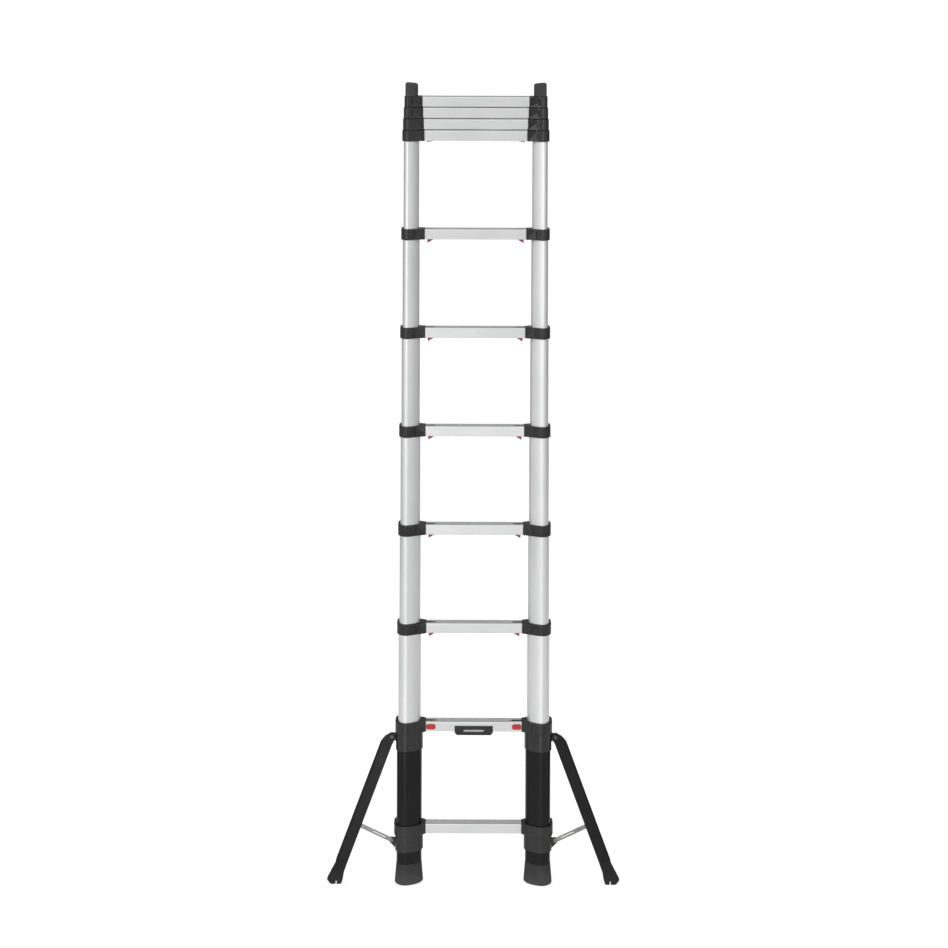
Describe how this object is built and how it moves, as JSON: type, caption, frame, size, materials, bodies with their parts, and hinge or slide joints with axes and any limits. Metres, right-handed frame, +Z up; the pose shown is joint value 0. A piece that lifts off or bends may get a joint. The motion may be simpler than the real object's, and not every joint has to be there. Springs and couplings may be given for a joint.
{
  "type": "telescoping ladder",
  "caption": "Telescoping leaning ladder with nested tube stiles, grooved rungs in side collars, sliding lock pins, rubber feet and folding stabiliser legs.",
  "frame": {"origin": "middle of the footprint at the height of the lowest point of the soles", "axes": "+Z up along the stiles, +Y from the climber's side to the wall side, +X to the right of a climber facing the ladder"},
  "size_m": [0.8794, 0.092, 2.412],
  "materials": {
    "anodised_aluminium": "satin",
    "black_coated_aluminium": "satin",
    "black_powder_coat": "satin",
    "black_plastic": "matte",
    "black_rubber": "matte",
    "grey_rubber": "matte",
    "red_plastic": "satin",
    "grey_plastic": "satin",
    "zinc_steel": "zinc plated"
  },
  "bodies": {
    "base": {"base_stiles": "black_coated_aluminium", "rung_01": "anodised_aluminium", "rung_02": "anodised_aluminium", "upper_collars": "black_plastic", "lower_collars": "black_plastic", "base_feet": "grey_rubber", "label_plate": "black_plastic", "stabiliser_pins": "zinc_steel"},
    "section_02": {"stiles_02": "anodised_aluminium", "rung_03": "anodised_aluminium", "collars_03": "black_plastic"},
    "section_03": {"stiles_03": "anodised_aluminium", "rung_04": "anodised_aluminium", "collars_04": "black_plastic"},
    "section_04": {"stiles_04": "anodised_aluminium", "rung_05": "anodised_aluminium", "collars_05": "black_plastic"},
    "section_05": {"stiles_05": "anodised_aluminium", "rung_06": "anodised_aluminium", "collars_06": "black_plastic"},
    "section_06": {"stiles_06": "anodised_aluminium", "rung_07": "anodised_aluminium", "collars_07": "black_plastic"},
    "section_07": {"stiles_07": "anodised_aluminium", "rung_08": "anodised_aluminium", "collars_08": "black_plastic"},
    "section_08": {"stiles_08": "anodised_aluminium", "rung_09": "anodised_aluminium", "collars_09": "black_plastic"},
    "section_09": {"stiles_09": "anodised_aluminium", "rung_10": "anodised_aluminium", "collars_10": "black_plastic"},
    "section_10": {"stiles_10": "anodised_aluminium", "rung_11": "anodised_aluminium", "collars_11": "black_plastic", "top_caps": "black_rubber"},
    "lock_02_left": {"lock_02_left": "red_plastic"},
    "lock_02_right": {"lock_02_right": "red_plastic"},
    "lock_03_left": {"lock_03_left": "red_plastic"},
    "lock_03_right": {"lock_03_right": "red_plastic"},
    "lock_04_left": {"lock_04_left": "red_plastic"},
    "lock_04_right": {"lock_04_right": "red_plastic"},
    "lock_05_left": {"lock_05_left": "red_plastic"},
    "lock_05_right": {"lock_05_right": "red_plastic"},
    "lock_06_left": {"lock_06_left": "red_plastic"},
    "lock_06_right": {"lock_06_right": "red_plastic"},
    "lock_07_left": {"lock_07_left": "red_plastic"},
    "lock_07_right": {"lock_07_right": "red_plastic"},
    "lock_08_left": {"lock_08_left": "grey_plastic"},
    "lock_08_right": {"lock_08_right": "grey_plastic"},
    "lock_09_left": {"lock_09_left": "grey_plastic"},
    "lock_09_right": {"lock_09_right": "grey_plastic"},
    "lock_10_left": {"lock_10_left": "grey_plastic"},
    "lock_10_right": {"lock_10_right": "grey_plastic"},
    "leg_left": {"stabiliser_leg_left": "black_powder_coat", "stabiliser_foot_left": "black_rubber"},
    "strut_left": {"strut_left": "zinc_steel"},
    "leg_right": {"stabiliser_leg_right": "black_powder_coat", "stabiliser_foot_right": "black_rubber"},
    "strut_right": {"strut_right": "zinc_steel"}
  },
  "joints": [
    {"name": "extend_02", "type": "slide", "parent": "base", "child": "section_02", "axis": [0, 0, 1], "range_m": [-0.262, 0]},
    {"name": "extend_03", "type": "slide", "parent": "section_02", "child": "section_03", "axis": [0, 0, 1], "range_m": [-0.262, 0]},
    {"name": "extend_04", "type": "slide", "parent": "section_03", "child": "section_04", "axis": [0, 0, 1], "range_m": [-0.262, 0]},
    {"name": "extend_05", "type": "slide", "parent": "section_04", "child": "section_05", "axis": [0, 0, 1], "range_m": [-0.262, 0]},
    {"name": "extend_06", "type": "slide", "parent": "section_05", "child": "section_06", "axis": [0, 0, 1], "range_m": [-0.262, 0]},
    {"name": "extend_07", "type": "slide", "parent": "section_06", "child": "section_07", "axis": [0, 0, 1], "range_m": [-0.262, 0]},
    {"name": "extend_08", "type": "slide", "parent": "section_07", "child": "section_08", "axis": [0, 0, 1], "range_m": [0, 0.262]},
    {"name": "extend_09", "type": "slide", "parent": "section_08", "child": "section_09", "axis": [0, 0, 1], "range_m": [0, 0.262]},
    {"name": "extend_10", "type": "slide", "parent": "section_09", "child": "section_10", "axis": [0, 0, 1], "range_m": [0, 0.262]},
    {"name": "release_02_left", "type": "slide", "parent": "base", "child": "lock_02_left", "axis": [-1, 0, 0], "range_m": [-0.006, 0.002], "stiffness_N_per_m": 350},
    {"name": "release_02_right", "type": "slide", "parent": "base", "child": "lock_02_right", "axis": [1, 0, 0], "range_m": [-0.006, 0.002], "stiffness_N_per_m": 350},
    {"name": "release_03_left", "type": "slide", "parent": "section_02", "child": "lock_03_left", "axis": [-1, 0, 0], "range_m": [-0.006, 0.002], "stiffness_N_per_m": 350},
    {"name": "release_03_right", "type": "slide", "parent": "section_02", "child": "lock_03_right", "axis": [1, 0, 0], "range_m": [-0.006, 0.002], "stiffness_N_per_m": 350},
    {"name": "release_04_left", "type": "slide", "parent": "section_03", "child": "lock_04_left", "axis": [-1, 0, 0], "range_m": [-0.006, 0.002], "stiffness_N_per_m": 350},
    {"name": "release_04_right", "type": "slide", "parent": "section_03", "child": "lock_04_right", "axis": [1, 0, 0], "range_m": [-0.006, 0.002], "stiffness_N_per_m": 350},
    {"name": "release_05_left", "type": "slide", "parent": "section_04", "child": "lock_05_left", "axis": [-1, 0, 0], "range_m": [-0.006, 0.002], "stiffness_N_per_m": 350},
    {"name": "release_05_right", "type": "slide", "parent": "section_04", "child": "lock_05_right", "axis": [1, 0, 0], "range_m": [-0.006, 0.002], "stiffness_N_per_m": 350},
    {"name": "release_06_left", "type": "slide", "parent": "section_05", "child": "lock_06_left", "axis": [-1, 0, 0], "range_m": [-0.006, 0.002], "stiffness_N_per_m": 350},
    {"name": "release_06_right", "type": "slide", "parent": "section_05", "child": "lock_06_right", "axis": [1, 0, 0], "range_m": [-0.006, 0.002], "stiffness_N_per_m": 350},
    {"name": "release_07_left", "type": "slide", "parent": "section_06", "child": "lock_07_left", "axis": [-1, 0, 0], "range_m": [-0.006, 0.002], "stiffness_N_per_m": 350},
    {"name": "release_07_right", "type": "slide", "parent": "section_06", "child": "lock_07_right", "axis": [1, 0, 0], "range_m": [-0.006, 0.002], "stiffness_N_per_m": 350},
    {"name": "release_08_left", "type": "slide", "parent": "section_07", "child": "lock_08_left", "axis": [-1, 0, 0], "range_m": [-0.006, 0.002], "stiffness_N_per_m": 350},
    {"name": "release_08_right", "type": "slide", "parent": "section_07", "child": "lock_08_right", "axis": [1, 0, 0], "range_m": [-0.006, 0.002], "stiffness_N_per_m": 350},
    {"name": "release_09_left", "type": "slide", "parent": "section_08", "child": "lock_09_left", "axis": [-1, 0, 0], "range_m": [-0.006, 0.002], "stiffness_N_per_m": 350},
    {"name": "release_09_right", "type": "slide", "parent": "section_08", "child": "lock_09_right", "axis": [1, 0, 0], "range_m": [-0.006, 0.002], "stiffness_N_per_m": 350},
    {"name": "release_10_left", "type": "slide", "parent": "section_09", "child": "lock_10_left", "axis": [-1, 0, 0], "range_m": [-0.006, 0.002], "stiffness_N_per_m": 350},
    {"name": "release_10_right", "type": "slide", "parent": "section_09", "child": "lock_10_right", "axis": [1, 0, 0], "range_m": [-0.006, 0.002], "stiffness_N_per_m": 350},
    {"name": "fold_leg_left", "type": "hinge", "parent": "base", "child": "leg_left", "pos_m": [-0.246, 0, 0.443], "axis": [0, -1, 0], "range_deg": [0, 18.2]},
    {"name": "fold_strut_left", "type": "hinge", "parent": "base", "child": "strut_left", "pos_m": [-0.246, 0, 0.1315], "axis": [0, 1, 0], "range_deg": [0, 65]},
    {"name": "fold_leg_right", "type": "hinge", "parent": "base", "child": "leg_right", "pos_m": [0.246, 0, 0.443], "axis": [0, 1, 0], "range_deg": [0, 18.2]},
    {"name": "fold_strut_right", "type": "hinge", "parent": "base", "child": "strut_right", "pos_m": [0.246, 0, 0.1315], "axis": [0, -1, 0], "range_deg": [0, 65]}
  ],
  "couplings": [
    {"joint": "fold_strut_left", "follows": "fold_leg_left", "ratio": 3.5},
    {"joint": "fold_strut_right", "follows": "fold_leg_right", "ratio": 3.5}
  ]
}
